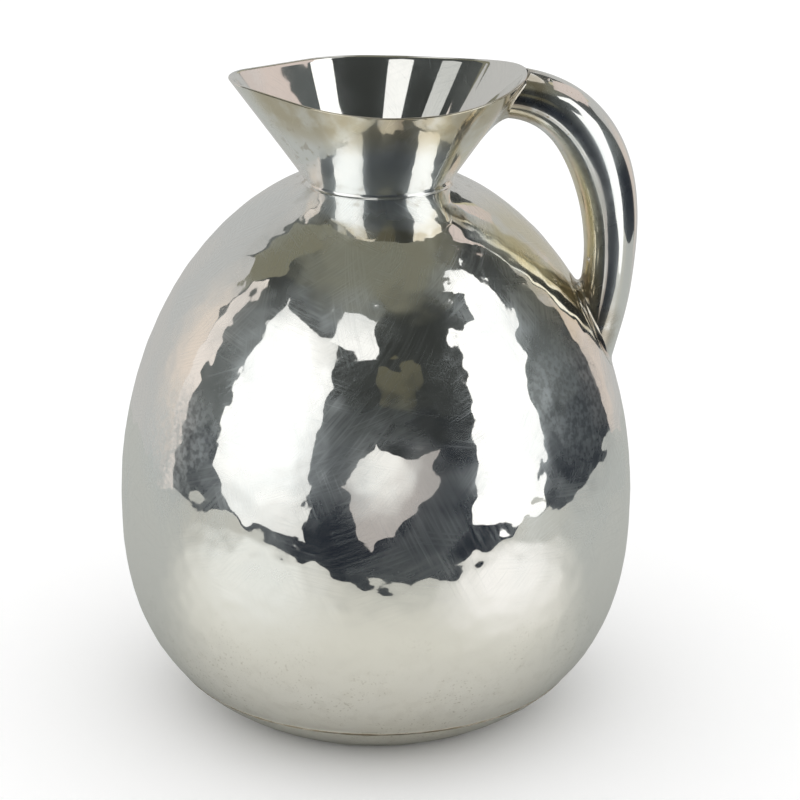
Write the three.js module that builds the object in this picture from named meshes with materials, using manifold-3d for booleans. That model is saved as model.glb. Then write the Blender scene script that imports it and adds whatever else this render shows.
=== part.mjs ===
// A hand-raised silver carafe: an egg-shaped body soldered onto a base dish, a straight flared
// neck whose rim is drawn out into a pouring lip, and a fat hollow handle made of two halves.
// Millimetres, +Z up, the body's axis on Z, the table at z = 0, spout towards -X, handle towards +X.
import * as THREE from 'three';
import { mergeVertices } from 'three/addons/utils/BufferGeometryUtils.js';
import Module from 'manifold-3d';

// Sheet and joints
const WALL = 1.0; // thickness of the raised sheet
const JOINT_GAP = 0.3; // room between neighbouring pieces

// Body and base
const BELLY_RADIUS = 75; // widest circle of the body
const BELLY_HEIGHT = 63; // height of that circle
const LOWER_FULLNESS = 2.5; // 2 is an ellipse, more is boxier
const SHOULDER_FULLNESS = 2.0;
const FOOT_RADIUS = 41.5; // edge of the flat that the body stands on
const STAND_RADIUS = 31; // inside this circle the underside lifts off the table
const CENTRE_LIFT = 1.5; // how far the middle of the underside lifts
const SEAM_HEIGHT = 12.4; // solder line between base dish and body
const SEAM_WIDTH = 0.6; // height of that solder line
const LAP_HEIGHT = 4; // base dish's lip inside the body, above the seam

// Neck and rim
const NECK_RADIUS = 21.2; // crease where neck and shoulder meet
const SHOULDER_HEIGHT = 159.4; // height of that crease
const SEAT_WIDTH = 1.2; // ledge of the neck that sits on the shoulder
const COLLAR_DEPTH = 3; // collar of the neck inside the mouth
const NECK_HEIGHT = 26.6; // crease to the lowest point of the rim
const RIM_RADIUS = 35.1; // half the rim's width, and its rounding towards the lip
const RIM_OFFSET = 2.3; // where it is widest, off the axis towards the handle
const RIM_REACH = 42; // axis to the rim's end at the handle
const SPOUT_REACH = 42.5; // axis to the tip of the lip
const SPOUT_RADIUS = 14; // rounding of the lip in plan
const SPOUT_RISE = 2.4; // lip above the lowest point of the rim
const SPOUT_SWEEP = 1.3; // 1 rises straight, more rises later
const HANDLE_SIDE_RISE = 4.4; // handle side above the lowest point of the rim
const HANDLE_SIDE_SWEEP = 2.9;
const RIM_ROUNDING = 0.35; // softened edges of the rim
const NECK_BEAD = 1.0; // solder bead in the crease

// Handle
const HANDLE_WALL = 1.0;
const HANDLE_BREADTH = 1.3; // width of the oval tube across its plane, in thicknesses
const HANDLE_TOP_THICKNESS = 14.2; // in its plane
const HANDLE_SWELL_THICKNESS = 17.4;
const HANDLE_FOOT_THICKNESS = 14.4;
const HANDLE_SWELL_AT = 32; // along the centreline from the neck
const HANDLE_SLIM_AT = 68; // from here down the handle has its foot thickness
const HANDLE_PROUD = 1.0; // top of the handle above the rim that it joins
const HANDLE_TOP_DIP = 5.6; // degrees below level where it leaves the neck
const HANDLE_TOP_PULL = 27.7; // how long it holds that direction
const HANDLE_FOOT_HEIGHT = 116.6; // where its centreline enters the shoulder
const HANDLE_FOOT_LEAN = 14.6; // degrees off upright there
const HANDLE_FOOT_PULL = 30.5;
const UPPER_FILLET = 1.5; // solder at the neck
const UNDER_FILLET_WIDTH = 13; // the same solder under the handle, down the neck
const UNDER_FILLET_HEIGHT = 4; // and out along the handle
const LOWER_FILLET = 2; // solder at the shoulder
const CROTCH_FILLET = 5; // the same solder between handle and shoulder
const FILLET_GATHER = 3; // 1 thickens evenly towards the handle's inner side, more thickens later
const VENT_RADIUS = 0.7;
const UPPER_VENT_AT = 8; // along the centreline from the neck
const UPPER_VENT_TURN = -23; // degrees round the handle from its outer side
const LOWER_VENT_UP = 20; // along the centreline from the shoulder
const LOWER_VENT_TURN = -150;

// Fineness of the facets
const ROUND_STEPS = 64; // round the body and the neck
const BODY_STEPS = 18;
const DISH_STEPS = 5;
const LAP_STEPS = 2;
const LIFT_STEPS = 3;
const HANDLE_STEPS = 36;
const HALF_STEPS = 10; // round each half of the handle
const FILLET_STEPS = 40;
const FILLET_ARC_STEPS = 5; // across the solder's hollow face
const VENT_STEPS = 12;
const MERGE_DISTANCE = 1e-3; // points closer than this are one
const SLOPE_STEP = 0.01; // for surface normals
const HALVINGS = 40; // when a seat is searched for

const { Manifold, Mesh: SolidMesh } = await Module().then((wasm) => {
  wasm.setup();
  return wasm;
});

// Body profile: one superellipse quarter below the belly and one above it

function quarterReach(height, edgeRadius, fullness) {
  return height / (1 - (edgeRadius / BELLY_RADIUS) ** fullness) ** (1 / fullness);
}

const lowerReach = quarterReach(BELLY_HEIGHT, FOOT_RADIUS, LOWER_FULLNESS);
const upperReach = quarterReach(SHOULDER_HEIGHT - BELLY_HEIGHT, NECK_RADIUS, SHOULDER_FULLNESS);

function bodyRadius(z) {
  const below = z < BELLY_HEIGHT;
  const fullness = below ? LOWER_FULLNESS : SHOULDER_FULLNESS;
  const share = Math.abs(z - BELLY_HEIGHT) / (below ? lowerReach : upperReach);
  return BELLY_RADIUS * Math.max(0, 1 - share ** fullness) ** (1 / fullness);
}

function shoulderHeight(radius) {
  const share = radius / BELLY_RADIUS;
  return BELLY_HEIGHT + upperReach * (1 - share ** SHOULDER_FULLNESS) ** (1 / SHOULDER_FULLNESS);
}

class BodyProfile extends THREE.Curve {
  constructor(low, high) {
    super();
    this.low = low;
    this.high = high;
  }

  getPoint(t, target = new THREE.Vector2()) {
    const z = THREE.MathUtils.lerp(this.low, this.high, t);
    return target.set(bodyRadius(z), z);
  }
}

// Points on the profile between two heights, set in from the outer surface by a distance
function sheetLine(low, high, steps, inset) {
  const profile = new BodyProfile(low, high);
  const points = [];
  for (let i = 0; i <= steps; i++) {
    const point = profile.getPointAt(i / steps);
    const along = profile.getTangentAt(i / steps);
    points.push(new THREE.Vector2(point.x - inset * along.y, point.y + inset * along.x));
  }
  return points;
}

// Geometry helpers

function solidGeometry(positions, triangles) {
  const geometry = new THREE.BufferGeometry();
  geometry.setAttribute('position', new THREE.Float32BufferAttribute(positions, 3));
  geometry.setIndex(triangles);
  return facingOut(geometry);
}

// Turns every triangle over if the closed surface faces inwards
function facingOut(geometry) {
  const index = geometry.getIndex().array;
  const position = geometry.getAttribute('position');
  const [a, b, c] = [new THREE.Vector3(), new THREE.Vector3(), new THREE.Vector3()];
  let volume = 0;
  for (let i = 0; i < index.length; i += 3) {
    a.fromBufferAttribute(position, index[i]);
    b.fromBufferAttribute(position, index[i + 1]);
    c.fromBufferAttribute(position, index[i + 2]);
    volume += a.dot(b.cross(c));
  }
  if (volume < 0) {
    for (let i = 0; i < index.length; i += 3) {
      [index[i + 1], index[i + 2]] = [index[i + 2], index[i + 1]];
    }
  }
  return geometry;
}

// A closed profile of (radius, height) points turned about the Z axis
function turned(profile) {
  const geometry = new THREE.LatheGeometry(profile, ROUND_STEPS);
  geometry.rotateX(Math.PI / 2);
  geometry.deleteAttribute('normal');
  geometry.deleteAttribute('uv');
  return facingOut(mergeVertices(geometry, MERGE_DISTANCE));
}

// Closed sections joined one to the next, back round to the first
function ringLoft(sections) {
  const count = sections[0].length;
  const triangles = [];
  sections.forEach((section, i) => {
    const here = i * count;
    const next = ((i + 1) % sections.length) * count;
    for (let j = 0; j < count; j++) {
      const k = (j + 1) % count;
      triangles.push(here + j, next + j, next + k, here + j, next + k, here + k);
    }
  });
  return solidGeometry(sections.flat().flatMap((p) => p.toArray()), triangles);
}

// Closed sections joined in a row. Each section is a strip: its second half runs back beside its first
function stripLoft(sections) {
  const count = sections[0].length;
  const last = (sections.length - 1) * count;
  const triangles = [];
  for (let i = 0; i < sections.length - 1; i++) {
    for (let j = 0; j < count; j++) {
      const k = (j + 1) % count;
      const [here, next] = [i * count, (i + 1) * count];
      triangles.push(here + j, next + j, next + k, here + j, next + k, here + k);
    }
  }
  for (let j = 0; j < count / 2 - 1; j++) {
    const [k, back, backNext] = [j + 1, count - 1 - j, count - 2 - j];
    triangles.push(j, k, backNext, j, backNext, back);
    triangles.push(last + j, last + backNext, last + k, last + j, last + back, last + backNext);
  }
  return solidGeometry(sections.flat().flatMap((p) => p.toArray()), triangles);
}

function polar(radius, angle, z) {
  return new THREE.Vector3(radius * Math.cos(angle), radius * Math.sin(angle), z);
}

// Steps round the Z axis, with a section at each angle
function roundLoft(sectionAt) {
  const sections = [];
  for (let i = 0; i < ROUND_STEPS; i++) {
    const angle = (i / ROUND_STEPS) * 2 * Math.PI;
    sections.push(sectionAt(angle).map(([radius, z]) => polar(radius, angle, z)));
  }
  return ringLoft(sections);
}

function toSolid(geometry) {
  return new Manifold(new SolidMesh({
    numProp: 3,
    vertProperties: new Float32Array(geometry.getAttribute('position').array),
    triVerts: new Uint32Array(geometry.getIndex().array),
  }));
}

function toGeometry(solid) {
  const { vertProperties, triVerts } = solid.getMesh();
  return solidGeometry(vertProperties, Array.from(triVerts));
}

// Base dish, its solder seam and the body

const grooveHalf = SEAM_WIDTH / 2 + JOINT_GAP;
const dishTop = SEAM_HEIGHT - grooveHalf;
const bodyBottom = SEAM_HEIGHT + grooveHalf;
const lapOutside = WALL + JOINT_GAP;
const lapInside = lapOutside + WALL;

function liftedFloor(thickness) {
  const points = [];
  for (let i = 0; i <= LIFT_STEPS; i++) {
    const share = i / LIFT_STEPS;
    points.push(new THREE.Vector2(STAND_RADIUS * share, thickness + CENTRE_LIFT * (1 - share ** 2)));
  }
  return points;
}

function baseDish() {
  const lapTop = bodyBottom + LAP_HEIGHT;
  const lapRoot = dishTop - WALL;
  return turned([
    ...liftedFloor(0),
    ...sheetLine(0, dishTop, DISH_STEPS, 0),
    ...sheetLine(dishTop, lapTop, LAP_STEPS, lapOutside),
    ...sheetLine(lapRoot, lapTop, LAP_STEPS, lapInside).reverse(),
    ...sheetLine(0, lapRoot - WALL, DISH_STEPS, WALL).reverse(),
    ...liftedFloor(WALL).reverse(),
  ]);
}

function closedProfile(points) {
  return [...points, points[0].clone()];
}

function baseSolderSeam() {
  const [low, high] = [SEAM_HEIGHT - SEAM_WIDTH / 2, SEAM_HEIGHT + SEAM_WIDTH / 2];
  return turned(closedProfile([...sheetLine(low, high, 1, 0), ...sheetLine(low, high, 1, WALL).reverse()]));
}

const collarRadius = NECK_RADIUS - SEAT_WIDTH;
const mouthRadius = collarRadius + JOINT_GAP;

function bodyShell() {
  const mouthHeight = shoulderHeight(mouthRadius);
  const outside = sheetLine(bodyBottom, mouthHeight, BODY_STEPS, 0);
  const inside = sheetLine(bodyBottom, mouthHeight, BODY_STEPS, WALL);
  const slope = new BodyProfile(bodyBottom, mouthHeight).getTangentAt(1);
  inside.at(-1).set(mouthRadius, mouthHeight + WALL / slope.x);
  return turned(closedProfile([...outside, ...inside.reverse()]));
}

// Neck: straight lines from the crease circle out to a pear-shaped rim

const rimLength = RIM_REACH - RIM_OFFSET;
const spoutCentre = SPOUT_REACH - SPOUT_RADIUS;
const taper = Math.asin((RIM_RADIUS - SPOUT_RADIUS) / (RIM_OFFSET + spoutCentre));
const sideDistance = RIM_RADIUS - RIM_OFFSET * Math.sin(taper);
const seatHeight = SHOULDER_HEIGHT + JOINT_GAP;

// Distance from the axis to the rim: half an ellipse towards the handle, and towards the lip two circles and
// the straight sides that touch both
function rimRadius(angle) {
  const [along, across] = [Math.cos(angle), Math.abs(Math.sin(angle))];
  const aside = Math.atan2(across, along);
  const widest = Math.atan2(RIM_RADIUS, RIM_OFFSET);
  const sideStart = Math.atan2(
    RIM_RADIUS * Math.cos(taper), RIM_OFFSET - RIM_RADIUS * Math.sin(taper));
  const sideEnd = Math.atan2(
    SPOUT_RADIUS * Math.cos(taper), -spoutCentre - SPOUT_RADIUS * Math.sin(taper));
  if (aside < widest) {
    const bend = (along / rimLength) ** 2 + (across / RIM_RADIUS) ** 2;
    const shift = RIM_OFFSET * along / rimLength ** 2;
    return (shift + Math.sqrt(shift ** 2 + bend * (1 - (RIM_OFFSET / rimLength) ** 2))) / bend;
  }
  if (aside < sideStart) {
    return RIM_OFFSET * along + Math.sqrt(RIM_RADIUS ** 2 - (RIM_OFFSET * across) ** 2);
  }
  if (aside < sideEnd) {
    return sideDistance / (across * Math.cos(taper) - along * Math.sin(taper));
  }
  return -spoutCentre * along + Math.sqrt(SPOUT_RADIUS ** 2 - (spoutCentre * across) ** 2);
}

// The rim is lowest where it is widest and rises towards both ends
function rimHeight(angle) {
  const low = SHOULDER_HEIGHT + NECK_HEIGHT;
  const x = rimRadius(angle) * Math.cos(angle) - RIM_OFFSET;
  if (x > 0) return low + HANDLE_SIDE_RISE * (x / rimLength) ** HANDLE_SIDE_SWEEP;
  return low + SPOUT_RISE * (-x / (SPOUT_REACH + RIM_OFFSET)) ** SPOUT_SWEEP;
}

// The neck's outer surface, which can be followed past the rim
function neckRadius(angle, z) {
  const share = (z - seatHeight) / (rimHeight(angle) - seatHeight);
  return NECK_RADIUS + (rimRadius(angle) - NECK_RADIUS) * share;
}

// Level thickness of a sheet that leans outwards as the neck does at this angle
function levelThickness(angle, thickness) {
  const rise = rimHeight(angle) - seatHeight;
  return thickness * Math.hypot(rimRadius(angle) - NECK_RADIUS, rise) / rise;
}

function neckFunnel() {
  const collarBottom = SHOULDER_HEIGHT - COLLAR_DEPTH;
  const collarTop = shoulderHeight(collarRadius) + JOINT_GAP;
  const throat = collarTop + COLLAR_DEPTH;
  return roundLoft((angle) => {
    const top = rimHeight(angle);
    const edge = top - RIM_ROUNDING;
    const sheet = levelThickness(angle, WALL);
    return [
      [collarRadius, collarBottom],
      [collarRadius, collarTop],
      [NECK_RADIUS, seatHeight],
      [neckRadius(angle, edge), edge],
      [neckRadius(angle, top) - RIM_ROUNDING, top],
      [neckRadius(angle, top) - sheet + RIM_ROUNDING, top],
      [neckRadius(angle, edge) - sheet, edge],
      [neckRadius(angle, throat) - sheet, throat],
      [collarRadius - WALL, collarTop],
      [collarRadius - WALL, collarBottom],
    ];
  });
}

function neckSolderFillet() {
  return roundLoft((angle) => {
    const gap = levelThickness(angle, JOINT_GAP);
    const ground = (radius) => shoulderHeight(radius) + JOINT_GAP;
    const corner = NECK_RADIUS + gap;
    const top = ground(corner) + NECK_BEAD;
    return [
      [corner, ground(corner)],
      [corner + NECK_BEAD, ground(corner + NECK_BEAD)],
      [neckRadius(angle, top) + gap, top],
    ];
  });
}

// Handle: an oval tube along a curve in the XZ plane, cut to fit the neck and the shoulder

const handleTop = rimHeight(0) + HANDLE_PROUD - HANDLE_TOP_THICKNESS / 2;
const topSeat = new THREE.Vector3(neckRadius(0, handleTop), 0, handleTop);
const footSeat = new THREE.Vector3(bodyRadius(HANDLE_FOOT_HEIGHT), 0, HANDLE_FOOT_HEIGHT);
const topDip = THREE.MathUtils.degToRad(HANDLE_TOP_DIP);
const footLean = THREE.MathUtils.degToRad(HANDLE_FOOT_LEAN);
const outwards = new THREE.Vector3(Math.cos(topDip), 0, -Math.sin(topDip));
const inwards = new THREE.Vector3(-Math.sin(footLean), 0, -Math.cos(footLean));

// Lengths of tube past both seats, so that the slanted cuts are whole
const topSpare = HANDLE_TOP_THICKNESS;
const footSpare = 2 * HANDLE_FOOT_THICKNESS;

const handleLine = new THREE.CurvePath();
handleLine.add(new THREE.LineCurve3(topSeat.clone().addScaledVector(outwards, -topSpare), topSeat));
handleLine.add(new THREE.CubicBezierCurve3(
  topSeat,
  topSeat.clone().addScaledVector(outwards, HANDLE_TOP_PULL),
  footSeat.clone().addScaledVector(inwards, -HANDLE_FOOT_PULL),
  footSeat,
));
handleLine.add(new THREE.LineCurve3(footSeat, footSeat.clone().addScaledVector(inwards, footSpare)));
const handleLength = handleLine.getLength();
const footDistance = handleLength - topSpare - footSpare;

function halfThickness(distance) {
  const swell = THREE.MathUtils.smoothstep(distance, 0, HANDLE_SWELL_AT);
  const slim = THREE.MathUtils.smoothstep(distance, HANDLE_SWELL_AT, HANDLE_SLIM_AT);
  const thick = THREE.MathUtils.lerp(HANDLE_TOP_THICKNESS, HANDLE_SWELL_THICKNESS, swell);
  return THREE.MathUtils.lerp(thick, HANDLE_FOOT_THICKNESS, slim) / 2;
}

// A step outwards in the handle's plane and a step across it, as one vector
function handleStep(distance, out, across) {
  const along = handleLine.getTangent((distance + topSpare) / handleLength);
  return new THREE.Vector3(-along.z * out, across, along.x * out);
}

// Unit normal of the oval tube, at a turn from the handle's outer side
function handleSide(distance, turn) {
  return handleStep(distance, HANDLE_BREADTH * Math.cos(turn), Math.sin(turn)).normalize();
}

function handlePoint(distance, turn, depth = 0) {
  const half = halfThickness(distance);
  return handleLine.getPoint((distance + topSpare) / handleLength)
    .add(handleStep(distance, half * Math.cos(turn), HANDLE_BREADTH * half * Math.sin(turn)))
    .addScaledVector(handleSide(distance, turn), -depth);
}

// Solids that the handle is cut back from: body and neck filled in and grown by the joint gap

function filledBody() {
  const skin = sheetLine(0, SHOULDER_HEIGHT, 2 * BODY_STEPS, -JOINT_GAP);
  const axisLow = new THREE.Vector2(0, skin[0].y);
  const axisHigh = new THREE.Vector2(0, skin.at(-1).y);
  return toSolid(turned([axisLow, ...skin, axisHigh]));
}

function filledNeck() {
  const core = WALL;
  return toSolid(roundLoft((angle) => {
    const top = rimHeight(angle) + HANDLE_TOP_THICKNESS;
    const gap = levelThickness(angle, JOINT_GAP);
    return [
      [core, seatHeight],
      [NECK_RADIUS + gap, seatHeight],
      [neckRadius(angle, top) + gap, top],
      [core, top],
    ];
  }));
}

function ventHole(distance, turnDegrees) {
  const turn = THREE.MathUtils.degToRad(turnDegrees);
  const hole = new THREE.CylinderGeometry(VENT_RADIUS, VENT_RADIUS, 4 * HANDLE_WALL, VENT_STEPS);
  const side = handleSide(distance, turn);
  hole.applyQuaternion(new THREE.Quaternion().setFromUnitVectors(new THREE.Vector3(0, 1, 0), side));
  hole.translate(...handlePoint(distance, turn, HANDLE_WALL / 2));
  hole.deleteAttribute('normal');
  hole.deleteAttribute('uv');
  return toSolid(mergeVertices(hole, MERGE_DISTANCE));
}

// One half of the tube, centred on a turn, with its long edges half a joint gap from the other half
function handleHalf(middleTurn, vent) {
  const sections = [];
  for (let i = 0; i <= HANDLE_STEPS; i++) {
    const distance = (i / HANDLE_STEPS) * handleLength - topSpare;
    const bore = halfThickness(distance) - HANDLE_BREADTH * HANDLE_WALL;
    const reach = Math.PI / 2 - Math.asin(JOINT_GAP / 2 / bore);
    const outer = [];
    const inner = [];
    for (let j = 0; j <= HALF_STEPS; j++) {
      const turn = middleTurn + reach * ((2 * j) / HALF_STEPS - 1);
      outer.push(handlePoint(distance, turn));
      inner.push(handlePoint(distance, turn, HANDLE_WALL));
    }
    sections.push([...outer, ...inner.reverse()]);
  }
  const tube = toSolid(stripLoft(sections));
  return toGeometry(tube.subtract(filledBody()).subtract(filledNeck()).subtract(vent));
}

// Solder round an end of the handle. outside(point) is the distance from the surface that it joins

function bodyOutside(point) {
  return Math.hypot(point.x, point.y) - bodyRadius(point.z);
}

function neckOutside(point) {
  return Math.hypot(point.x, point.y) - neckRadius(Math.atan2(point.y, point.x), point.z);
}

function surfaceNormal(outside, point) {
  const slopes = ['x', 'y', 'z'].map((axis) => {
    const ahead = point.clone();
    const behind = point.clone();
    ahead[axis] += SLOPE_STEP;
    behind[axis] -= SLOPE_STEP;
    return outside(ahead) - outside(behind);
  });
  return new THREE.Vector3(...slopes).normalize();
}

// Distance along the handle where one line of its surface meets the surface that it joins
function seatDistance(outside, turn, clear, buried) {
  let [free, inside] = [clear, buried];
  for (let i = 0; i < HALVINGS; i++) {
    const middle = (free + inside) / 2;
    if (outside(handlePoint(middle, turn)) > 0) free = middle;
    else inside = middle;
  }
  return inside;
}

// The point moved along the surface's normal until it is a joint gap clear of the surface
function clearOf(outside, point) {
  const normal = surfaceNormal(outside, point);
  const here = outside(point);
  const slope = outside(point.clone().add(normal)) - here;
  return point.clone().addScaledVector(normal, JOINT_GAP - here / slope);
}

// sizeAt(seat, turn) gives the solder's width on the surface and its height along the handle
function handleSolder(outside, buried, sizeAt) {
  const clear = HANDLE_SWELL_AT;
  const away = Math.sign(clear - buried);
  const sections = [];
  for (let i = 0; i < FILLET_STEPS; i++) {
    const turn = (i / FILLET_STEPS) * 2 * Math.PI;
    const distance = seatDistance(outside, turn, clear, buried);
    const seat = handlePoint(distance, turn);
    const { width, height } = sizeAt(seat, turn);
    const handleNormal = handleSide(distance, turn);
    const groundNormal = surfaceNormal(outside, seat);
    const alongGround = handleNormal.clone().projectOnPlane(groundNormal).normalize();
    const lift = JOINT_GAP / (1 + handleNormal.dot(groundNormal));
    const corner = seat.clone().addScaledVector(handleNormal, lift).addScaledVector(groundNormal, lift);
    const groundEdge = clearOf(outside, corner.clone().addScaledVector(alongGround, width));
    const handleEdge = handlePoint(distance + away * (lift + height), turn, -JOINT_GAP);
    const face = new THREE.QuadraticBezierCurve3(groundEdge, corner, handleEdge);
    sections.push([corner, ...face.getPoints(FILLET_ARC_STEPS)]);
  }
  return ringLoft(sections);
}

// Solder gathers on the handle's inner side
function gathered(thin, thick, turn) {
  return THREE.MathUtils.lerp(thin, thick, ((1 - Math.cos(turn)) / 2) ** FILLET_GATHER);
}

// At the neck the solder is limited by the sheet that is left below the rim
function upperFilletSize(seat, turn) {
  const room = rimHeight(Math.atan2(seat.y, seat.x)) - seat.z;
  const width = gathered(UPPER_FILLET, UNDER_FILLET_WIDTH, turn);
  const height = gathered(UPPER_FILLET, UNDER_FILLET_HEIGHT, turn);
  return { width: Math.max(JOINT_GAP, Math.min(room, width)), height };
}

function lowerFilletSize(seat, turn) {
  const size = gathered(LOWER_FILLET, CROTCH_FILLET, turn);
  return { width: size, height: size };
}

// Assembly

const plainSilver = { color: 0xd8d4c8, roughness: 0.18, metalness: 1 };
const brightSilver = { color: 0xdedbd2, roughness: 0.1, metalness: 1 };
const solderSilver = { color: 0xb9b09a, roughness: 0.3, metalness: 1 };

function piece(name, geometry, finish) {
  const mesh = new THREE.Mesh(geometry, new THREE.MeshStandardMaterial(finish));
  mesh.name = name;
  return mesh;
}

const vessel = new THREE.Group();
vessel.add(
  piece('base_dish', baseDish(), plainSilver),
  piece('base_solder_seam', baseSolderSeam(), solderSilver),
  piece('body_shell', bodyShell(), plainSilver),
  piece('neck_funnel', neckFunnel(), brightSilver),
  piece('neck_solder_fillet', neckSolderFillet(), solderSilver),
);

const upperVent = ventHole(UPPER_VENT_AT, UPPER_VENT_TURN);
const lowerVent = ventHole(footDistance - LOWER_VENT_UP, LOWER_VENT_TURN);
const handle = new THREE.Group();
handle.add(
  piece('handle_outer_half', handleHalf(0, upperVent), brightSilver),
  piece('handle_inner_half', handleHalf(Math.PI, lowerVent), brightSilver),
  piece('handle_upper_solder',
    handleSolder(neckOutside, -topSpare, upperFilletSize), solderSilver),
  piece('handle_lower_solder',
    handleSolder(bodyOutside, handleLength - topSpare, lowerFilletSize), solderSilver),
);

const carafe = new THREE.Group();
carafe.add(vessel, handle);

export default carafe;
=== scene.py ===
import math

import bpy
import numpy as np
from mathutils.kdtree import KDTree
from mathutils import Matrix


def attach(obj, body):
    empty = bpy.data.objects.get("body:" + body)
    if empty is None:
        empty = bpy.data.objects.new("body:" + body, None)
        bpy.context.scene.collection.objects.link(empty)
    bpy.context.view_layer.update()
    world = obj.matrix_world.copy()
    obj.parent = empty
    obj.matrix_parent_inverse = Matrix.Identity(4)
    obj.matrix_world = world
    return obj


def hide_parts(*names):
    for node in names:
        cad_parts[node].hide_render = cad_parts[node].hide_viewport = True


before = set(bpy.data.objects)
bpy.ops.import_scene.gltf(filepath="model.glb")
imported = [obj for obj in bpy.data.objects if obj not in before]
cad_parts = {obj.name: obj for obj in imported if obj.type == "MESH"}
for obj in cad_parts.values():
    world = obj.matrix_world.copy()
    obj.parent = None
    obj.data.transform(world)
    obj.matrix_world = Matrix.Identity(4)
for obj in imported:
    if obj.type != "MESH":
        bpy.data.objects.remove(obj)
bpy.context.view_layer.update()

mm = 0.001
sheet = 1.0
belly_radius = 75.0
belly_height = 63.0
lower_fullness = 2.5
shoulder_fullness = 2.0
foot_radius = 41.5
stand_radius = 31.0
centre_lift = 1.5
crease_radius = 21.2
crease_height = 159.4
seam_height = 12.4
seam_opening = 0.4
lip_clearance = 0.3
lip_height = 4.6
edge_softening = 0.12
body_columns = 628
row_spacing = 0.75


def quarter_reach(height, edge, fullness):
    return height / (1 - (edge / belly_radius) ** fullness) ** (1 / fullness)


lower_reach = quarter_reach(belly_height, foot_radius, lower_fullness)
upper_reach = quarter_reach(crease_height - belly_height, crease_radius, shoulder_fullness)


def body_radius(z):
    below = np.less(z, belly_height)
    fullness = np.where(below, lower_fullness, shoulder_fullness)
    share = np.abs(np.subtract(z, belly_height)) / np.where(below, lower_reach, upper_reach)
    return belly_radius * np.clip(1 - share ** fullness, 0, None) ** (1 / fullness)


# Points (radius, height) on the raised profile at even steps, set in from the outer face
def sheet_line(low, high, spacing, inset):
    samples = 6000
    z = np.linspace(low, high, samples)
    r = body_radius(z)
    run = np.concatenate([[0], np.cumsum(np.hypot(np.diff(r), np.diff(z)))])
    steps = max(2, math.ceil(run[-1] / spacing))
    at = np.linspace(0, run[-1], steps + 1)
    slope_r = np.interp(at, run, np.gradient(r, run))
    slope_z = np.interp(at, run, np.gradient(z, run))
    line = np.stack([np.interp(at, run, r), np.interp(at, run, z)], 1)
    return line + inset * np.stack([-slope_z, slope_r], 1)


def turned(profile, columns):
    angle = np.linspace(0, 2 * math.pi, columns, endpoint=False)
    r, z = profile[:, :1], profile[:, 1:]
    return np.stack([r * np.cos(angle), r * np.sin(angle), z + 0 * angle], -1)


# Hammer blows in loose courses round a turned surface, as a smith planishes it
def blow_courses(profile, blow, wander, chance):
    fewest = 6
    overlap = 0.92
    gaps = np.hypot(*np.diff(profile, axis=0).T)
    run = np.concatenate([[0], np.cumsum(gaps)])
    blows = []
    for course in np.arange(blow / 2, run[-1], blow * overlap):
        radius = np.interp(course, run, profile[:, 0])
        count = max(fewest, round(2 * math.pi * radius / blow))
        angle = (np.arange(count) + chance.uniform(-wander, wander, count) + chance.uniform()) / count
        angle = 2 * math.pi * angle
        at = np.clip(course + blow * chance.uniform(-wander, wander, count), 0, run[-1])
        r = np.interp(at, run, profile[:, 0])
        z = np.interp(at, run, profile[:, 1])
        blows.append(np.stack([r * np.cos(angle), r * np.sin(angle), z], 1))
    return np.concatenate(blows)


# Depth of the planished face below the smooth one: each blow leaves a small flat, and its rim is soft
def planished(points, blows, flatness, softness, unevenness, chance):
    near = 6
    flattest, roundest = 1.5, 0.7
    tree = KDTree(len(blows))
    for number, blow in enumerate(blows):
        tree.insert(blow, number)
    tree.balance()
    shallow = chance.normal(0, unevenness, len(blows))
    round_face = flatness * chance.uniform(roundest, flattest, len(blows))
    found = np.array([[(hit[1], hit[2]) for hit in tree.find_n(point, near)] for point in points])
    which = found[..., 0].astype(int)
    face = found[..., 1] ** 2 / (2 * round_face[which]) + shallow[which]
    lowest = face.min(1, keepdims=True)
    return lowest[:, 0] - softness * np.log(np.exp((lowest - face) / softness).sum(1))


# Shallow waves of many lengths and headings, which the hammer and the stake leave in the sheet
def rippled(points, shortest, longest, steepness, chance):
    count = 90
    length = shortest * (longest / shortest) ** chance.uniform(size=count)
    heading = chance.normal(size=(count, 3))
    heading /= np.linalg.norm(heading, axis=1, keepdims=True)
    start = chance.uniform(0, 2 * math.pi, count)
    height = np.zeros(len(points))
    for size, way, phase in zip(length, heading, start):
        height += size * np.sin(points @ way * (2 * math.pi / size) + phase)
    return height * steepness / (2 * math.pi) * math.sqrt(2 / count)


def row_normals(rows):
    along = np.gradient(rows, axis=0)
    around = np.roll(rows, -1, 1) - np.roll(rows, 1, 1)
    normal = np.cross(around, along)
    return normal / np.linalg.norm(normal, axis=-1, keepdims=True)


def sunk(rows, depth):
    return rows + (depth - depth.max()).reshape(rows.shape[:2] + (1,)) * row_normals(rows)


blow_size = 6.0
blow_wander = 0.5
blow_flatness = 120.0
blow_softness = 0.012
blow_unevenness = 0.005
ripple_shortest = 4.0
ripple_longest = 9.0
ripple_steepness = 0.018


def hammered(rows, seed):
    chance = np.random.default_rng(seed)
    points = rows.reshape(-1, 3)
    profile = np.stack([np.hypot(rows[:, 0, 0], rows[:, 0, 1]), rows[:, 0, 2]], 1)
    blows = blow_courses(profile, blow_size, blow_wander, chance)
    depth = planished(points, blows, blow_flatness, blow_softness, blow_unevenness, chance)
    return sunk(rows, depth + rippled(points, ripple_shortest, ripple_longest, ripple_steepness, chance))


def grid_faces(count, around, wrap):
    ring = np.arange(count * around).reshape(count, around)
    low = ring if wrap else ring[:-1]
    high = np.roll(ring, -1, 0) if wrap else ring[1:]
    return np.stack([low, np.roll(low, -1, 1), np.roll(high, -1, 1), high], -1).reshape(-1, 4).tolist()


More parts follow.
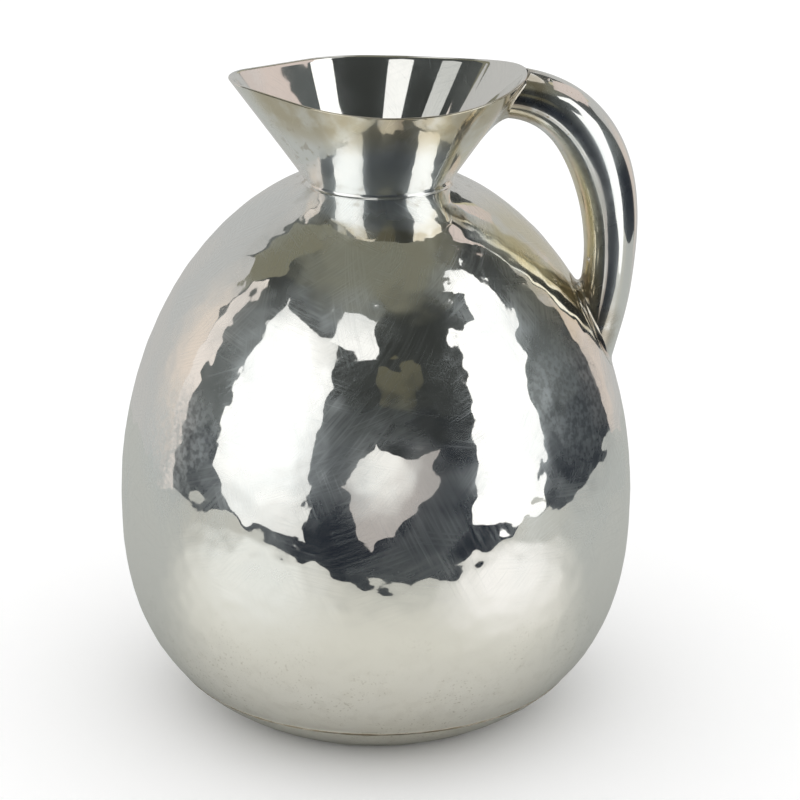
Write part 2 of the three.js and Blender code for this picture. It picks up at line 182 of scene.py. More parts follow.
def metal_piece(name, points, faces):
    mesh = bpy.data.meshes.new(name)
    mesh.from_pydata((np.asarray(points) * mm).tolist(), [], faces)
    mesh.polygons.foreach_set("use_smooth", [True] * len(faces))
    mesh.update()
    piece = bpy.data.objects.new(name, mesh)
    bpy.context.scene.collection.objects.link(piece)
    return piece


# A quarter round from one face of the sheet to its cut edge
def soft_edge(corner, along, across, radius):
    steps = 5
    turn = np.linspace(0, math.pi / 2, steps)[:, None]
    return corner - radius * (1 - np.sin(turn)) * along + radius * (1 - np.cos(turn)) * across


class Wire:
    """One socket of a finish. Sums written with wires add Math nodes to the same finish."""

    def __init__(self, socket):
        self.socket = socket

    def node(self, kind, settings, sockets, out=0):
        made = self.socket.id_data.nodes.new(kind)
        for key, value in settings.items():
            setattr(made, key, value)
        for key, value in sockets.items():
            if isinstance(value, Wire):
                self.socket.id_data.links.new(value.socket, made.inputs[key])
            else:
                made.inputs[key].default_value = value
        return Wire(made.outputs[out])

    def sum(self, operation, left, right):
        return self.node("ShaderNodeMath", {"operation": operation}, {0: left, 1: right})

    def __add__(self, other):
        return self.sum("ADD", self, other)

    __radd__ = __add__

    def __sub__(self, other):
        return self.sum("SUBTRACT", self, other)

    def __rsub__(self, other):
        return self.sum("SUBTRACT", other, self)

    def __mul__(self, other):
        return self.sum("MULTIPLY", self, other)

    __rmul__ = __mul__

    def __truediv__(self, other):
        return self.sum("DIVIDE", self, other)

    def __rtruediv__(self, other):
        return self.sum("DIVIDE", other, self)

    def most(self, other):
        return self.sum("MAXIMUM", self, other)

    def between(self, low, high):
        return self.node("ShaderNodeMapRange", {"interpolation_type": "SMOOTHSTEP"},
                         {"Value": self, "From Min": low, "From Max": high})

    def scaled(self, sizes):
        return self.node("ShaderNodeVectorMath", {"operation": "MULTIPLY"}, {0: self, 1: sizes})

    def streaks(self, sizes, detail):
        drawn = self.scaled(tuple(1 / size for size in sizes))
        return self.node("ShaderNodeTexNoise", {}, {"Vector": drawn, "Scale": 1.0, "Detail": detail})

    def cloud(self, size, detail):
        return self.streaks((size, size, size), detail)

    def tinted(self, plain, full):
        return self.node("ShaderNodeMix", {"data_type": "RGBA"}, {0: self, 6: plain, 7: full}, out=2)

    def axis(self, number):
        return self.node("ShaderNodeSeparateXYZ", {}, {0: self}, out=number)

    def far_from(self, point):
        return self.node("ShaderNodeVectorMath", {"operation": "DISTANCE"}, {0: self, 1: point}, out=1)

    def around(self, point, full, none):
        return 1 - self.far_from(point).between(full, none)


def place_on(finish):
    return Wire(finish.node_tree.nodes.new("ShaderNodeTexCoord").outputs["Object"])


silver_white = (0.955, 0.95, 0.93, 1)
silver_yellow = (0.90, 0.80, 0.56, 1)
silver_brown = (0.42, 0.34, 0.23, 1)
haze_tint = (0.88, 0.95, 1.0)
haze_roughness = 0.34
mean_radius = 60.0
stroke_turns = (0.2, -0.45, 1.2, 2.2)
stroke_patch = 17.0
stroke_patch_growth = 4
stroke_size = (16.0, 0.8, 1.0)
stroke_share = 0.6
hairline_size = (20.0, 0.30, 1.0)
hairline_share = 0.15
worn_patch = 24.0
haze_everywhere = 0.12
brown_haze = 0.35
rubbed_from = (45.0, 85.0)
ripple_bump_size = 3.0


# Mirror-bright silver under a faint haze of polishing strokes and hairlines, with tarnish where browned
# and yellowed say, and milky where dulled says. The strokes are laid out on the surface, by the distance
# round the jug and the height.
def silver(name, polish, haze, bump_depth, browned, yellowed, dulled=None):
    finish = bpy.data.materials.new(name)
    finish.use_nodes = True
    tree = finish.node_tree
    tree.nodes.remove(tree.nodes["Principled BSDF"])
    place = place_on(finish).scaled((1 / mm, 1 / mm, 1 / mm))
    round_jug = place.sum("ARCTAN2", place.axis(0), 0 - place.axis(1)) * mean_radius
    laid_out = place.node("ShaderNodeCombineXYZ", {}, {0: round_jug, 1: place.axis(2), 2: 0.0})
    strokes = hairlines = None
    for number, turn in enumerate(stroke_turns):
        turned_way = laid_out.node("ShaderNodeVectorRotate", {"rotation_type": "Z_AXIS"},
                                   {"Vector": laid_out, "Angle": turn})
        patch = turned_way.cloud(stroke_patch + stroke_patch_growth * number, 2.0).between(0.44, 0.60)
        layer = turned_way.streaks(stroke_size, 2.0).between(0.36, 0.74) * patch
        lines = turned_way.streaks(hairline_size, 0.0).between(0.70, 0.78) * patch
        strokes = layer if strokes is None else strokes.most(layer)
        hairlines = lines if hairlines is None else hairlines.most(lines)
    worn = place.cloud(worn_patch, 3.0).between(0.42, 0.60)
    rubbed = place.axis(2).between(*rubbed_from)
    brown = browned(place)
    yellow = yellowed(place)
    colour = brown.tinted(yellow.tinted(silver_white, silver_yellow), silver_brown)
    ripple = place.cloud(ripple_bump_size, 1.0)
    normal = ripple.node("ShaderNodeBump", {},
                         {"Height": ripple, "Strength": 1.0, "Distance": bump_depth * mm})
    mirror = colour.node("ShaderNodeBsdfPrincipled", {},
                         {"Base Color": colour, "Metallic": 1.0, "Roughness": polish, "Normal": normal})
    cool = colour.scaled(haze_tint)
    scattered = colour.node("ShaderNodeBsdfPrincipled", {},
                            {"Base Color": cool, "Metallic": 1.0, "Roughness": haze_roughness,
                             "Normal": normal})
    hazed = haze * (haze_everywhere + rubbed * (worn + stroke_share * strokes))
    hazed = hazed + hairline_share * rubbed * hairlines + brown_haze * brown
    if dulled:
        hazed = hazed.most(dulled(place))
    both = hazed.node("ShaderNodeMixShader", {}, {0: hazed, 1: mirror, 2: scattered})
    tree.links.new(both.socket, tree.nodes["Material Output"].inputs["Surface"])
    return finish


def fitted(piece, finish, slot, *nodes):
    piece.data.materials.append(finish)
    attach(piece, "root")
    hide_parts(*nodes)


dish_top = seam_height - seam_opening / 2
lip_top = seam_height + lip_height
dish_seed = 11
up_the_wall = np.array([0.75, 0.66])
into_the_wall = np.array([-0.66, 0.75])


def dish_floor(height):
    innermost, rings = 0.02, 24
    share = np.linspace(innermost, 1, rings)
    return np.stack([stand_radius * share, height + centre_lift * (1 - share ** 2)], 1)


wall_line = sheet_line(0, dish_top - edge_softening, row_spacing, 0)
lip_line = sheet_line(dish_top, lip_top, row_spacing, sheet + lip_clearance)
lip_back = sheet_line(dish_top - sheet, lip_top, row_spacing, 2 * sheet + lip_clearance)[::-1]
wall_back = sheet_line(0, dish_top - 2 * sheet, row_spacing, sheet)[::-1]
underside = turned(dish_floor(0), body_columns)
dish_wall = hammered(turned(wall_line, body_columns), dish_seed)
dish_corner = sheet_line(0, dish_top, row_spacing, 0)[-1]
dish_edge = soft_edge(dish_corner, up_the_wall, into_the_wall, edge_softening)
dish_inside = np.concatenate([dish_edge, lip_line, lip_back, wall_back, dish_floor(sheet)[::-1]])
dish_rows = np.concatenate([underside, dish_wall, turned(dish_inside, body_columns)])
dish_faces = grid_faces(len(dish_rows), body_columns, False)
dish_faces.append(list(range(body_columns))[::-1])
dish_faces.append(list(range((len(dish_rows) - 1) * body_columns, len(dish_rows) * body_columns)))
base_dish = metal_piece("base_dish_hammered", dish_rows.reshape(-1, 3), dish_faces)

# Smudges and a dark line along the seam, and fine specks and mottling all over the lower half
smudge_strength = 0.35
speck_strength = 0.35
mottling_strength = 0.07
film_strength = 0.12
specked_up_to = (18, 62)
filmed_up_to = (5, 50)


def lower_brown(place):
    rise = place.axis(2)
    seam_distance = (rise - seam_height) * (rise - seam_height)
    smudges = (1 - seam_distance.between(0.1, 3.0)) * place.cloud(9.0, 3.0).between(0.56, 0.70)
    stain = 1 - seam_distance.between(0.05, 0.45)
    stain = stain * (0.6 + 0.4 * place.cloud(6.0, 3.0).between(0.4, 0.6))
    specks = place.cloud(0.9, 1.0).between(0.62, 0.72) * place.cloud(16.0, 2.0).between(0.40, 0.62)
    mottling = place.cloud(4.0, 5.0).between(0.48, 0.66)
    low = 1 - rise.between(*specked_up_to)
    flecks = low * (specks * speck_strength + mottling * mottling_strength)
    return (smudges * smudge_strength + flecks).most(stain)


def lower_yellow(place):
    low = 1 - place.axis(2).between(*filmed_up_to)
    return low * place.cloud(20.0, 4.0).between(0.35, 0.7) * film_strength


base_finish = silver("base_silver_planished", polish=0.05, haze=0.30, bump_depth=0.03,
                     browned=lower_brown, yellowed=lower_yellow)
fitted(base_dish, base_finish, "base_silver", "base_dish")

# Base solder: a thin run of silver solder that fills the seam between the base dish and the body,
# filed back a little below the faces on either side, so that it shows as a fine dark line.
seam_recess = 0.2
seam_overlap = 0.05
seam_spacing = 0.1
seam_columns = body_columns // 2
seam_low = dish_top - seam_overlap
seam_high = dish_top + seam_opening + seam_overlap
seam_line = sheet_line(seam_low, seam_high, seam_spacing, seam_recess)
seam_back = sheet_line(seam_low, seam_high, seam_spacing, sheet)[::-1]
seam_rows = turned(np.concatenate([seam_line, seam_back]), seam_columns)
base_solder = metal_piece("base_solder_run", seam_rows.reshape(-1, 3),
                          grid_faces(len(seam_rows), seam_columns, True))


def solder_brown(place):
    return place.cloud(3.0, 4.0).between(0.42, 0.70) * 0.45


def solder_yellow(place):
    return place.cloud(7.0, 3.0).between(0.30, 0.65) * 0.6


solder_finish = silver("solder_silver", polish=0.08, haze=0.24, bump_depth=0.012,
                       browned=solder_brown, yellowed=solder_yellow)
fitted(base_solder, solder_finish, "solder", "base_solder_seam")

# Body: the egg-shaped shell, raised from one sheet of silver and then planished all over, so that its
# whole outside is made of small soft flats. Polished afterwards, and now full of fine hairlines.
collar_step = 1.2
collar_clearance = 0.3
inner_row_spacing = 5.0
body_seed = 5
collar_radius = crease_radius - collar_step
mouth_radius = collar_radius + collar_clearance
body_bottom = seam_height + seam_opening / 2


def shoulder_height(radius):
    share = np.divide(radius, belly_radius)
    return belly_height + upper_reach * (1 - share ** shoulder_fullness) ** (1 / shoulder_fullness)


mouth_height = float(shoulder_height(mouth_radius))
body_line = sheet_line(body_bottom + edge_softening, mouth_height, row_spacing, 0)
body_back = sheet_line(body_bottom, mouth_height - sheet, inner_row_spacing, sheet)[::-1]
body_outside = hammered(turned(body_line, body_columns), body_seed)
body_corner = sheet_line(body_bottom, mouth_height, row_spacing, 0)[0]
body_edge = soft_edge(body_corner, -up_the_wall, into_the_wall, edge_softening)[::-1]
body_rows = np.concatenate([turned(body_edge, body_columns), body_outside,
                            turned(body_back, body_columns)])
body_shell = metal_piece("body_shell_hammered", body_rows.reshape(-1, 3),
                         grid_faces(len(body_rows), body_columns, True))

crease_band = 5
crease_strength = 0.4
yellow_below_handle = (46, -12, 136)
yellow_strength = 0.7
right_palm = (56, -40, 108)
left_palm = (-58, -43, 95)
palm_reach = (8, 26)
palm_strength = 0.85


def body_brown(place):
    crease = place.axis(2).between(crease_height - crease_band, crease_height)
    crease = crease * place.cloud(4.0, 4.0).between(0.54, 0.70)
    return lower_brown(place).most(crease * crease_strength)


def body_yellow(place):
    film = place.around(yellow_below_handle, 12, 32) * place.cloud(9.0, 4.0).between(0.20, 0.55)
    return lower_yellow(place).most(film * yellow_strength)


# The polish is milky at both sides, where hands hold the jug
def body_dull(place):
    held = place.around(right_palm, *palm_reach).most(place.around(left_palm, *palm_reach))
    milky = held * palm_strength * place.cloud(8.0, 4.0).between(0.15, 0.50)
    return milky * (0.55 + 0.45 * place.cloud(1.6, 4.0).between(0.36, 0.62))


body_finish = silver("body_silver_planished", polish=0.04, haze=0.32, bump_depth=0.02,
                     browned=body_brown, yellowed=body_yellow, dulled=body_dull)
fitted(body_shell, body_finish, "body_silver", "body_shell")

# Neck: a funnel of silver sheet with straight sides, drawn out to one side into a pouring lip, so that
# its rim is pear-shaped. It sits on the shoulder with a short collar inside the mouth of the body.
neck_height = 26.6
rim_circle = 35.1
rim_offset = 2.3
rim_reach = 42.0
spout_reach = 42.5
spout_round = 14.0
spout_rise = 2.4
spout_sweep = 1.3
handle_side_rise = 4.4
handle_side_sweep = 2.9
seat_gap = 0.3
collar_depth = 3.0
neck_columns = 480
neck_steps = 44
neck_waves = (5.0, 16.0)
neck_wave_steepness = 0.0035
neck_seed = 23
rim_round = 0.42
rim_steps = 6
seat_height = crease_height + seat_gap
rim_length = rim_reach - rim_offset
spout_centre = spout_reach - spout_round
taper = math.asin((rim_circle - spout_round) / (rim_offset + spout_centre))


# Distance from the axis to the rim: half an ellipse towards the handle, and towards the lip two circles
# and the straight sides that touch both
def rim_radius(angle):
    along, across = np.cos(angle), np.abs(np.sin(angle))
    aside = np.arctan2(across, along)
    side_start = math.atan2(rim_circle * math.cos(taper), rim_offset - rim_circle * math.sin(taper))
    side_end = math.atan2(spout_round * math.cos(taper), -spout_centre - spout_round * math.sin(taper))
    bend = (along / rim_length) ** 2 + (across / rim_circle) ** 2
    shift = rim_offset * along / rim_length ** 2
    oval = (shift + np.sqrt(shift ** 2 + bend * (1 - (rim_offset / rim_length) ** 2))) / bend
    main = rim_offset * along + np.sqrt(rim_circle ** 2 - (rim_offset * across) ** 2)
    lean = np.maximum(across * math.cos(taper) - along * math.sin(taper), 1e-6)
    side = (rim_circle - rim_offset * math.sin(taper)) / lean
    lip = -spout_centre * along + np.sqrt(np.maximum(spout_round ** 2 - (spout_centre * across) ** 2, 0))
    pear = np.where(aside < side_start, main, np.where(aside < side_end, side, lip))
    return np.where(aside < math.atan2(rim_circle, rim_offset), oval, pear)


# The rim is lowest where it is widest and rises towards both ends
def rim_height(angle):
    x = rim_radius(angle) * np.cos(angle) - rim_offset
    handle_side = handle_side_rise * (np.maximum(x, 0) / rim_length) ** handle_side_sweep
    lip_side = spout_rise * (np.maximum(-x, 0) / (spout_reach + rim_offset)) ** spout_sweep
    return crease_height + neck_height + handle_side + lip_side


def neck_radius(angle, z):
    share = (z - seat_height) / (rim_height(angle) - seat_height)
    return crease_radius + (rim_radius(angle) - crease_radius) * share


neck_angle = np.linspace(0, 2 * math.pi, neck_columns, endpoint=False)
neck_rim = rim_height(neck_angle)
neck_rise = neck_rim - seat_height
neck_level = sheet * np.hypot(rim_radius(neck_angle) - crease_radius, neck_rise) / neck_rise


def neck_ring(z, inset):
    r = neck_radius(neck_angle, z) - inset
    return np.stack([r * np.cos(neck_angle), r * np.sin(neck_angle), z + 0 * neck_angle], 1)


neck_outer = np.array([neck_ring(crease_height + (neck_rim - rim_round - crease_height) * share, 0)
                       for share in np.linspace(0, 1, neck_steps)])
neck_outer = sunk(neck_outer, rippled(neck_outer.reshape(-1, 3), *neck_waves, neck_wave_steepness,
                                      np.random.default_rng(neck_seed)))
rim_turn = np.linspace(0, math.pi / 2, rim_steps)
rim_out = [neck_ring(neck_rim - rim_round * (1 - math.sin(t)), rim_round * (1 - math.cos(t)))
           for t in rim_turn[1:]]
rim_in = [neck_ring(neck_rim - rim_round * (1 - math.cos(t)), neck_level - rim_round * (1 - math.sin(t)))
          for t in rim_turn]
throat = crease_height + collar_depth
neck_inner = [neck_ring(throat + (neck_rim - rim_round - throat) * share, neck_level)
              for share in np.linspace(1, 0, neck_steps)[1:]]
collar_back = collar_radius - sheet
collar_line = np.array([[collar_back, crease_height], [collar_back, crease_height - collar_depth],
                        [collar_radius, crease_height - collar_depth], [collar_radius, crease_height]])
neck_rows = np.concatenate([neck_outer, rim_out, rim_in, neck_inner, turned(collar_line, neck_columns)])
neck_funnel = metal_piece("neck_funnel_polished", neck_rows.reshape(-1, 3),
                          grid_faces(len(neck_rows), neck_columns, True))

neck_crease_band = 4
specks_below_lip = (-24, -22, 177)
golden_by_handle = (30, -9, 172)
inside_of_lip = (-38, 6, 185)
below_rim = (171, 182)


# A thin film of tarnish on the outside, below the rim
def rim_film(place):
    outside = 1 - place.axis(1).between(-16, -8)
    uneven = 0.35 + 0.65 * place.cloud(7.0, 4.0).between(0.30, 0.58)
    return outside * place.axis(2).between(*below_rim) * uneven


def neck_brown(place):
    crease = 1 - place.axis(2).between(crease_height, crease_height + neck_crease_band)
    crease = crease * place.cloud(4.0, 4.0).between(0.52, 0.68)
    specks = place.around(specks_below_lip, 8, 20) * place.cloud(2.6, 4.0).between(0.56, 0.68)
    return (crease * 0.5).most(specks * 0.45).most(rim_film(place) * 0.46)


def neck_yellow(place):
    golden = place.around(golden_by_handle, 5, 18) * place.cloud(6.0, 3.0).between(0.25, 0.6)
    return (golden * 0.8).most(rim_film(place) * 0.7)


# The outside, which hands have rubbed, and the inside of the lip, which a polishing buff hardly reaches
def neck_dull(place):
    outside = 1 - place.axis(1).between(-14, -6)
    return (outside * 0.30).most(place.around(inside_of_lip, 4, 11) * 0.4)


neck_finish = silver("neck_silver_polished", polish=0.04, haze=0.10, bump_depth=0.004,
                     browned=neck_brown, yellowed=neck_yellow, dulled=neck_dull)
fitted(neck_funnel, neck_finish, "neck_silver", "neck_funnel")

# Neck solder: a fine fillet of silver solder that was run round the crease between shoulder and neck and
# drew itself hollow while it was hot. It holds the neck on the body.
bead = 0.8
bead_buried = 0.08
bead_hollow = 0.1
bead_root_in = 0.5
bead_root_down = 0.3
bead_steps = 9


def fillet_face(ground, corner, wall, steps):
    share = np.linspace(0, 1, steps)[:, None, None]
    return (1 - share) ** 2 * ground + 2 * share * (1 - share) * corner + share ** 2 * wall


def ring_at(radius, z):
    return turned(np.array([[radius, z]]), neck_columns)[0]


bead_edge = crease_radius + bead
bead_ground = ring_at(bead_edge, shoulder_height(bead_edge) - bead_buried)
bead_corner = ring_at(crease_radius + bead_hollow, crease_height)
bead_wall = neck_ring(crease_height + bead + 0 * neck_angle, bead_buried)
bead_root = ring_at(crease_radius - bead_root_in, crease_height - bead_root_down)
bead_rows = np.concatenate([fillet_face(bead_ground, bead_corner, bead_wall, bead_steps), bead_root[None]])
neck_solder = metal_piece("neck_solder_run", bead_rows.reshape(-1, 3),
                          grid_faces(len(bead_rows), neck_columns, True))
fitted(neck_solder, neck_finish, "solder", "neck_solder_fillet")

# Handle: a fat hollow tube that swells below the rim and thins towards its foot, made of two halves that
# are soldered along the sides and polished until the seams are gone. Two pin-holes let hot air out.
handle_top_width = 14.2
handle_swell_width = 17.4
handle_foot_width = 14.4
handle_swell_at = 32.0
handle_slim_at = 68.0
handle_proud = 1.0
handle_dip = math.radians(5.6)
handle_top_pull = 27.7
handle_foot_height = 116.6
handle_lean = math.radians(14.6)
handle_foot_pull = 30.5
handle_columns = 128
handle_steps = 220
handle_breadth = 1.3
handle_waves = (6.0, 18.0)
handle_wave_steepness = 0.004
handle_seed = 31
bow_samples = 4001
top_samples = 200
foot_samples = 400
bore_steps = 40
seat_overlap = 0.05
handle_seat_z = float(rim_height(0.0)) + handle_proud - handle_top_width / 2
top_seat = np.array([float(neck_radius(0.0, handle_seat_z)), 0, handle_seat_z])
foot_seat = np.array([float(body_radius(handle_foot_height)), 0, handle_foot_height])
outwards = np.array([math.cos(handle_dip), 0, -math.sin(handle_dip)])
inwards = np.array([-math.sin(handle_lean), 0, -math.cos(handle_lean)])
top_spare = handle_top_width
foot_spare = 2 * handle_foot_width
bow = np.linspace(0, 1, bow_samples)[:, None]
bow_start = top_seat + handle_top_pull * outwards
bow_end = foot_seat - handle_foot_pull * inwards
bow_line = ((1 - bow) ** 3 * top_seat + 3 * bow * (1 - bow) ** 2 * bow_start
            + 3 * bow ** 2 * (1 - bow) * bow_end + bow ** 3 * foot_seat)
handle_line = np.concatenate([
    top_seat + np.linspace(-top_spare, 0, top_samples, endpoint=False)[:, None] * outwards,
    bow_line,
    foot_seat + np.linspace(0, foot_spare, foot_samples)[1:, None] * inwards,
])
handle_gaps = np.linalg.norm(np.diff(handle_line, axis=0), axis=1)
handle_run = np.concatenate([[0], np.cumsum(handle_gaps)]) - top_spare
handle_tangent = np.gradient(handle_line, handle_run, axis=0)
foot_distance = float(handle_run[-1]) - foot_spare


def eased(value, low, high):
    share = np.clip((value - low) / (high - low), 0, 1)
    return share * share * (3 - 2 * share)


def handle_radius(distance):
    swell = eased(distance, 0, handle_swell_at)
    slim = eased(distance, handle_swell_at, handle_slim_at)
    thick = handle_top_width + (handle_swell_width - handle_top_width) * swell
    return (thick + (handle_foot_width - thick) * slim) / 2


# A step outwards in the handle's plane and a step across it, as one vector
def handle_step(distance, outwards, across):
    x = np.interp(distance, handle_run, handle_tangent[:, 0])
    z = np.interp(distance, handle_run, handle_tangent[:, 2])
    size = np.hypot(x, z)
    return np.stack([-z / size * outwards, across + 0 * size, x / size * outwards], -1)


# The direction that the oval tube's surface faces
def handle_side(distance, turn):
    outwards, across = handle_breadth * np.cos(turn), np.sin(turn)
    size = np.hypot(outwards, across)
    return handle_step(distance, outwards / size, across / size)


def handle_point(distance, turn, depth=0.0):
    centre = np.stack([np.interp(distance, handle_run, handle_line[:, k]) for k in range(3)], -1)
    radius = handle_radius(distance)
    step = handle_step(distance, radius * np.cos(turn), handle_breadth * radius * np.sin(turn))
    return centre + step - depth * handle_side(distance, turn)


def off_neck(point):
    x, y, z = point.T
    return np.hypot(x, y) - neck_radius(np.arctan2(y, x), z)


def off_body(point):
    x, y, z = point.T
    return np.hypot(x, y) - body_radius(z)


# Where each line along the handle meets the face that it is soldered to
def seats(off_face, turn, buried):
    free = np.full(len(turn), handle_swell_at)
    inside = np.full(len(turn), buried)
    halvings = 50
    for _ in range(halvings):
        middle = (free + inside) / 2
        clear = off_face(handle_point(middle, turn)) > 0
        free = np.where(clear, middle, free)
        inside = np.where(clear, inside, middle)
    return inside


handle_turn = np.linspace(0, 2 * math.pi, handle_columns, endpoint=False)
upper_seats = seats(off_neck, handle_turn, -top_spare)
lower_seats = seats(off_body, handle_turn, handle_run[-1])
tube_share = np.linspace(0, 1, handle_steps)[:, None]
tube_distance = upper_seats - seat_overlap + (lower_seats - upper_seats + 2 * seat_overlap) * tube_share
tube_turn = np.broadcast_to(handle_turn, tube_distance.shape).copy()


# Draws the tube's lines round a pin-hole and returns its middle and the ring of points at its edge
def pin_hole(distance, turn, radius):
    half = 2
    reach = 9
    turn = math.radians(turn) % (2 * math.pi)
    column = round(turn / (2 * math.pi) * handle_columns) % handle_columns
    row = int(np.argmin(np.abs(tube_distance[:, column] - distance)))
    middle_distance = tube_distance[row, column]
    middle_turn = handle_turn[column]
    moved = {}
    for i in range(-reach, reach + 1):
        for j in range(-reach, reach + 1):
            step = max(abs(i), abs(j))
            if step == 0:
                continue
            at = row + i, (column + j) % handle_columns
            width = float(handle_radius(tube_distance[at]))
            around = (tube_turn[at] - middle_turn + math.pi) % (2 * math.pi) - math.pi
            along = tube_distance[at] - middle_distance
            aside = width * around
            size = math.hypot(along, aside)
            keep = float(eased(step, half, reach))
            target = radius * step / half * (1 - keep) + size * keep
            moved[at] = (middle_distance + along / size * target,
                         middle_turn + aside / size * target / width)
    for at, (new_distance, new_turn) in moved.items():
        tube_distance[at] = new_distance
        tube_turn[at] = new_turn
    edge = [(-half, k) for k in range(-half, half)] + [(k, half) for k in range(-half, half)]
    edge += [(half, -k) for k in range(-half, half)] + [(-k, -half) for k in range(-half, half)]
    return row, column, half, [(row + i, (column + j) % handle_columns) for i, j in edge]


vent_depth = 0.85
upper_vent_from_neck = 8.0
upper_vent_turn = -23.0
upper_vent_radius = 0.45
lower_vent_from_foot = 20.0
lower_vent_turn = -150.0
lower_vent_radius = 0.6
vents = [pin_hole(upper_vent_from_neck, upper_vent_turn, upper_vent_radius),
         pin_hole(foot_distance - lower_vent_from_foot, lower_vent_turn, lower_vent_radius)]
tube_rows = handle_point(tube_distance, tube_turn)
tube_rows = sunk(tube_rows, rippled(tube_rows.reshape(-1, 3), *handle_waves, handle_wave_steepness,
                                    np.random.default_rng(handle_seed)))
bore_share = np.linspace(1, 0, bore_steps)[:, None]
bore_distance = upper_seats + (lower_seats - upper_seats) * bore_share
bore_rows = handle_point(bore_distance, np.broadcast_to(handle_turn, bore_distance.shape), sheet)
handle_rows = np.concatenate([tube_rows, bore_rows])
handle_points = handle_rows.reshape(-1, 3).tolist()
cut_out = set()
vent_faces = []
for row, column, half, edge in vents:
    for i in range(-half, half):
        for j in range(-half, half):
            cut_out.add((row + i) * handle_columns + (column + j) % handle_columns)
    rim = [r * handle_columns + c for r, c in edge]
    sink = -vent_depth * handle_side(tube_distance[row, column], tube_turn[row, column])
    base = list(range(len(handle_points), len(handle_points) + len(rim)))
    handle_points.extend((np.array([handle_points[k] for k in rim]) + sink).tolist())
    for k in range(len(rim)):
        after = (k + 1) % len(rim)
        vent_faces.append([rim[after], rim[k], base[k], base[after]])
    vent_faces.append(base[::-1])
tube_faces = grid_faces(len(handle_rows), handle_columns, True)
handle_faces = [face[::-1] for number, face in enumerate(tube_faces) if number not in cut_out]
handle = metal_piece("handle_hollow_polished", handle_points, handle_faces + vent_faces)

pits_under_top = (46, -5, 178)
handle_crotch = (57, -2, 127)
tarnish_and_shade_at_handle_joint = (39, -4, 184)
handle_foot = (61, -12, 117)
yellow_gap = (42, 0, 150)
matt_gap = (44, 0, 158)
matt_strength = 0.65
rubbed_strength = 0.25


# Dark pits under the handle near the neck, brown in the crotch at its foot, and brown tarnish with
# painted shade at the joint on the neck
def handle_brown(place):
    pits = place.cloud(0.9, 1.0).between(0.68, 0.76) * place.around(pits_under_top, 9, 18)
    crotch = place.around(handle_crotch, 6, 15)
    # Brown tarnish and painted shade in the crease where the handle joins the neck
    joint_tarnish_and_shade = place.around(tarnish_and_shade_at_handle_joint, 7, 12)
    foot = place.around(handle_foot, 5, 13)
    film = (crotch * 0.8).most(joint_tarnish_and_shade * 0.7).most(foot * 0.7)
    return (pits * 0.8).most(film * place.cloud(4.0, 4.0).between(0.22, 0.52))


# Yellow film on the inner side, where fingers don't rub it off
def handle_yellow(place):
    return place.around(yellow_gap, 17, 27) * (0.55 + 0.35 * place.cloud(8.0, 3.0).between(0.3, 0.6))


# The side towards the jug, which is left matt, and a faint haze all over from the hand
def handle_dull(place):
    matt = place.around(matt_gap, 23, 31) * (0.5 + 0.5 * place.cloud(7.0, 4.0).between(0.30, 0.60))
    return (matt_strength * matt).most(rubbed_strength)


handle_finish = silver("handle_silver_polished", polish=0.04, haze=0.10, bump_depth=0.004,
                       browned=handle_brown, yellowed=handle_yellow, dulled=handle_dull)
fitted(handle, handle_finish, "handle_silver", "handle_outer_half", "handle_inner_half")

# Handle solder: a hollow fillet of silver solder round each end of the handle, on the neck below the rim
# and on the shoulder, thickest on the inner side, wiped smooth while it was hot.
upper_fillet = 1.5
under_fillet_width = 13.0
under_fillet_height = 4.0
lower_fillet = 2.0
crotch_fillet = 5.0
fillet_gather = 3
fillet_steps = 12
fillet_root = 0.4
least_fillet = 0.05
face_step = 0.01


def face_normal(off_face, points):
    slopes = []
    for k in range(3):
        step = np.zeros(3)
        step[k] = face_step
        slopes.append(off_face(points + step) - off_face(points - step))
    normal = np.stack(slopes, -1)
    return normal / np.linalg.norm(normal, axis=-1, keepdims=True)


# The points moved along the face's normal until they are sunk in it by a little
def let_into(off_face, points):
    normal = face_normal(off_face, points)
    here = off_face(points)
    slope = off_face(points + normal) - here
    return points - normal * (here / slope + bead_buried)[:, None]


def handle_fillet(name, off_face, found, towards, width, height):
    seat = handle_point(found, handle_turn)
    side = handle_side(found, handle_turn)
    normal = face_normal(off_face, seat)
    along = side - (side * normal).sum(-1, keepdims=True) * normal
    along = along / np.linalg.norm(along, axis=-1, keepdims=True)
    ground = let_into(off_face, seat + along * width[:, None])
    wall = handle_point(found + towards * height, handle_turn, bead_buried)
    root = seat - fillet_root * (side + normal)
    rows = np.concatenate([fillet_face(ground, seat, wall, fillet_steps), root[None]])
    faces = [face[::-towards] for face in grid_faces(len(rows), handle_columns, True)]
    return metal_piece(name, rows.reshape(-1, 3), faces)


inner_share = ((1 - np.cos(handle_turn)) / 2) ** fillet_gather
seat_x, seat_y, seat_z = handle_point(upper_seats, handle_turn).T
upper_room = np.clip(rim_height(np.arctan2(seat_y, seat_x)) - seat_z, least_fillet, None)
upper_width = np.minimum(upper_room, upper_fillet + (under_fillet_width - upper_fillet) * inner_share)
upper_height = np.minimum(upper_room, upper_fillet + (under_fillet_height - upper_fillet) * inner_share)
lower_size = lower_fillet + (crotch_fillet - lower_fillet) * inner_share
upper_solder = handle_fillet("handle_upper_solder_run", off_neck, upper_seats, 1,
                             upper_width, upper_height)
fitted(upper_solder, handle_finish, "solder", "handle_upper_solder")
lower_solder = handle_fillet("handle_lower_solder_run", off_body, lower_seats, -1,
                             lower_size, lower_size)
fitted(lower_solder, handle_finish, "solder", "handle_lower_solder")
